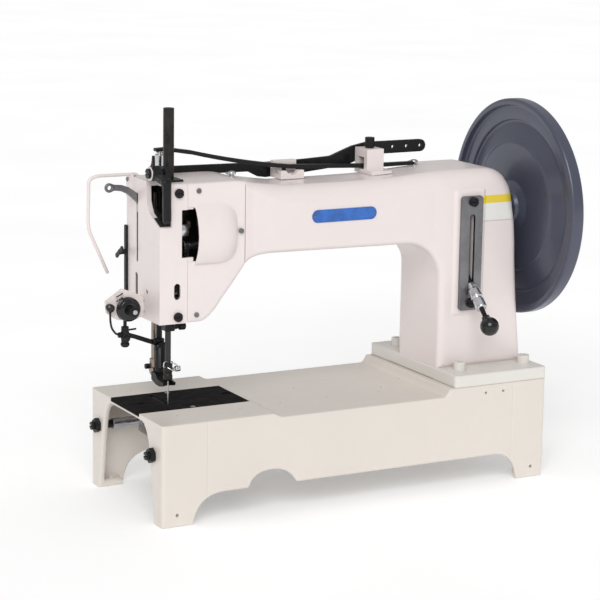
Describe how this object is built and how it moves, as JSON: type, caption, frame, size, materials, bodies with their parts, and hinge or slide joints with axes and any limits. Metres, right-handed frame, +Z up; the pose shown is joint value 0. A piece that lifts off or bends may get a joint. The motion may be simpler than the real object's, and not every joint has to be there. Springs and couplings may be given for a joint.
{
  "type": "leather sewing machine",
  "caption": "Heavy leather sewing machine head: cast bed on four feet, column and arm, large handwheel, needle and presser bars, lifting levers, tension unit and stitch lever.",
  "frame": {"origin": "floor level under the middle of the bed, centre of the four hold-down holes", "axes": "+X along the bed towards the handwheel, +Y away from the operator, +Z up"},
  "size_m": [0.8032, 0.372, 0.648],
  "materials": {
    "bed_paint": "semi-gloss cream paint",
    "body_paint": "semi-gloss warm white paint",
    "wheel_enamel": "gloss dark blue-grey enamel",
    "black_steel": "satin black oxide",
    "ground_steel": "ground steel, light oil",
    "bright_chrome": "bright plated",
    "grey_steel": "grey satin",
    "brown_steel": "brownish oiled steel",
    "black_plastic": "glossy moulded black"
  },
  "bodies": {
    "frame": {"bed_casting": "bed_paint", "arm_casting": "body_paint", "head_shell": "body_paint", "crank_cover": "body_paint", "head_cover_screws": "black_steel", "panel_screws": "black_steel", "needle_plate": "black_steel", "right_slide_plate": "black_steel", "plate_screws": "ground_steel", "shuttle_race": "body_paint", "pivot_screws": "black_steel", "pivot_lock_nuts": "black_steel", "left_bush": "ground_steel", "right_bush": "ground_steel", "tube_post": "black_steel", "post_plate": "black_steel", "lower_bushes": "ground_steel", "spring_clamp": "body_paint", "spring_guide": "body_paint", "lever_screw": "black_steel", "lifter_bolt": "black_steel", "guard_wire": "body_paint", "take_up_pin": "ground_steel", "tension_plate": "body_paint", "quadrant_plate": "grey_steel", "quadrant_screws": "black_steel", "fittings": "bright_chrome", "flange_bolts": "body_paint"},
    "shaft_unit": {"main_shaft": "ground_steel", "shaft_collar": "ground_steel", "handwheel": "wheel_enamel", "wheel_screw": "ground_steel", "crank_disc": "ground_steel", "feed_cam": "ground_steel"},
    "needle_unit": {"needle_bar": "ground_steel", "needle_bar_clamp": "ground_steel", "needle": "ground_steel", "crank_link": "ground_steel"},
    "presser_unit": {"presser_bar": "ground_steel", "presser_cap": "bright_chrome", "presser_foot": "ground_steel", "release_arm": "black_steel"},
    "vibrating_unit": {"vibrating_bar": "brown_steel", "vibrating_foot": "brown_steel"},
    "lifter_unit": {"hand_lifter": "black_steel"},
    "lever_unit": {"lifting_lever": "black_steel"},
    "spring_unit": {"spring_bar": "black_steel"},
    "take_up_unit": {"take_up_lever": "grey_steel"},
    "stitch_unit": {"stitch_lever": "ground_steel", "ball_knob": "black_plastic"},
    "tension_disc_unit": {"tension_wheel": "black_steel"},
    "tension_nut_unit": {"tension_nut": "bright_chrome"},
    "spring_screw_unit": {"spring_screw": "black_steel"},
    "left_slide_unit": {"left_slide_plate": "black_steel"},
    "feed_unit": {"feed_dog": "ground_steel"},
    "hook_unit": {"shuttle_hook": "ground_steel", "shuttle_shaft": "ground_steel"},
    "bobbin_unit": {"bobbin": "ground_steel"},
    "feed_rock_unit": {"feed_rock_shaft": "ground_steel"},
    "lift_rock_unit": {"lift_rock_shaft": "ground_steel"}
  },
  "joints": [
    {"name": "handwheel_spin", "type": "hinge", "parent": "frame", "child": "shaft_unit", "pos_m": [0, -0.02, 0.452], "axis": [1, 0, 0], "continuous": true},
    {"name": "needle_bar_slide", "type": "slide", "parent": "frame", "child": "needle_unit", "axis": [0, 0, 1], "range_m": [0, 0.052]},
    {"name": "hand_lifter_turn", "type": "hinge", "parent": "frame", "child": "lifter_unit", "pos_m": [-0.329, -0.044, 0.549], "axis": [1, 0, 0], "range_deg": [-90, 0]},
    {"name": "presser_bar_slide", "type": "slide", "parent": "frame", "child": "presser_unit", "axis": [0, 0, 1], "range_m": [0, 0.012]},
    {"name": "lifting_lever_turn", "type": "hinge", "parent": "frame", "child": "lever_unit", "pos_m": [-0.065, 0.041, 0.533], "axis": [0, 1, 0], "range_deg": [0, 3.03]},
    {"name": "spring_bar_flex", "type": "hinge", "parent": "frame", "child": "spring_unit", "pos_m": [0.092, 0.014, 0.532], "axis": [0, 1, 0], "range_deg": [0, 1.79]},
    {"name": "vibrating_bar_slide", "type": "slide", "parent": "frame", "child": "vibrating_unit", "axis": [0, 0, 1], "range_m": [-0.002, 0.008]},
    {"name": "take_up_swing", "type": "hinge", "parent": "frame", "child": "take_up_unit", "pos_m": [-0.272, 0.0065, 0.45], "axis": [0, 1, 0], "range_deg": [-57, 0]},
    {"name": "stitch_lever_turn", "type": "hinge", "parent": "frame", "child": "stitch_unit", "pos_m": [0.236, -0.026, 0.399], "axis": [1, 0, 0], "range_deg": [-80, 0]},
    {"name": "tension_disc_spin", "type": "hinge", "parent": "frame", "child": "tension_disc_unit", "pos_m": [-0.366, -0.027, 0.331], "axis": [0, 1, 0], "continuous": true},
    {"name": "tension_nut_turn", "type": "hinge", "parent": "frame", "child": "tension_nut_unit", "pos_m": [-0.366, -0.042, 0.331], "axis": [0, 1, 0], "continuous": true},
    {"name": "spring_screw_turn", "type": "hinge", "parent": "frame", "child": "spring_screw_unit", "pos_m": [0.092, 0.014, 0.57], "axis": [0, 0, 1], "continuous": true},
    {"name": "left_plate_slide", "type": "slide", "parent": "frame", "child": "left_slide_unit", "axis": [1, 0, 0], "range_m": [-0.045, 0]},
    {"name": "feed_dog_slide", "type": "slide", "parent": "frame", "child": "feed_unit", "axis": [0, 1, 0], "range_m": [-0.006, 0.006]},
    {"name": "hook_turn", "type": "hinge", "parent": "frame", "child": "hook_unit", "pos_m": [-0.1, -0.02, 0.108], "axis": [1, 0, 0], "continuous": true},
    {"name": "bobbin_spin", "type": "hinge", "parent": "hook_unit", "child": "bobbin_unit", "pos_m": [-0.298, -0.02, 0.108], "axis": [1, 0, 0], "continuous": true},
    {"name": "feed_rock_turn", "type": "hinge", "parent": "frame", "child": "feed_rock_unit", "pos_m": [0, -0.108, 0.112], "axis": [1, 0, 0], "range_deg": [-8, 8]},
    {"name": "lift_rock_turn", "type": "hinge", "parent": "frame", "child": "lift_rock_unit", "pos_m": [0, 0.112, 0.108], "axis": [1, 0, 0], "range_deg": [-8, 8]}
  ],
  "couplings": [
    {"joint": "presser_bar_slide", "follows": "hand_lifter_turn", "m_per_rad": -0.0076394},
    {"joint": "lifting_lever_turn", "follows": "hand_lifter_turn", "ratio": -0.033653},
    {"joint": "spring_bar_flex", "follows": "hand_lifter_turn", "ratio": -0.019894}
  ]
}
